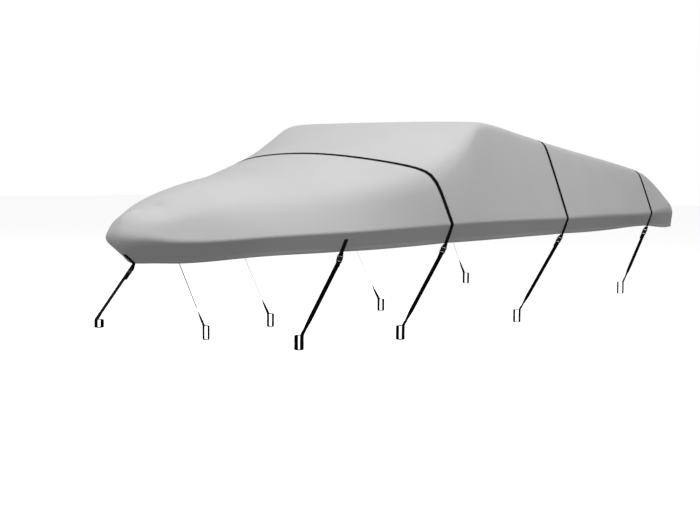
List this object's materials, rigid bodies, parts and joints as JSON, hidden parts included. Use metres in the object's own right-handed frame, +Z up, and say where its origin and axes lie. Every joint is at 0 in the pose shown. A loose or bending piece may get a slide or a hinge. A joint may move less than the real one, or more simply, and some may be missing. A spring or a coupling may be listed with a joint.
{
  "type": "boat cover",
  "caption": "Fitted grey cover for a V-hull runabout: hollow, drawn tight over bow, windscreen and stern, with a skirt below the rub rail and black webbing straps that buckle to a trailer.",
  "frame": {"origin": "underside of the cloth on the centreline, where the top of the windscreen carries it", "axes": "+X towards the stern, +Y to starboard, +Z up; the bow points to -X"},
  "size_m": [6.1009, 2.24, 1.5738],
  "materials": {
    "cover": "light grey coated polyester, fine plain weave, matt",
    "webbing": "black polyester webbing, ribbed weave, matt",
    "buckle": "moulded black acetal, fine satin"
  },
  "bodies": {
    "root": {"cover": "cover", "screen_over_strap": "webbing", "cockpit_over_strap": "webbing", "stern_over_strap": "webbing", "tab_foredeck_port": "webbing", "tab_foredeck_starboard": "webbing", "tab_screen_port": "webbing", "tab_screen_starboard": "webbing", "tab_cockpit_port": "webbing", "tab_cockpit_starboard": "webbing", "tab_stern_port": "webbing", "tab_stern_starboard": "webbing", "tab_bow": "webbing", "buckle_foredeck_port": "buckle", "buckle_foredeck_starboard": "buckle", "buckle_screen_port": "buckle", "buckle_screen_starboard": "buckle", "buckle_cockpit_port": "buckle", "buckle_cockpit_starboard": "buckle", "buckle_stern_port": "buckle", "buckle_stern_starboard": "buckle", "buckle_bow": "buckle", "tie_foredeck_port": "webbing", "tie_foredeck_starboard": "webbing", "tie_screen_port": "webbing", "tie_screen_starboard": "webbing", "tie_cockpit_port": "webbing", "tie_cockpit_starboard": "webbing", "tie_stern_port": "webbing", "tie_stern_starboard": "webbing", "tie_bow": "webbing"}
  },
  "joints": []
}
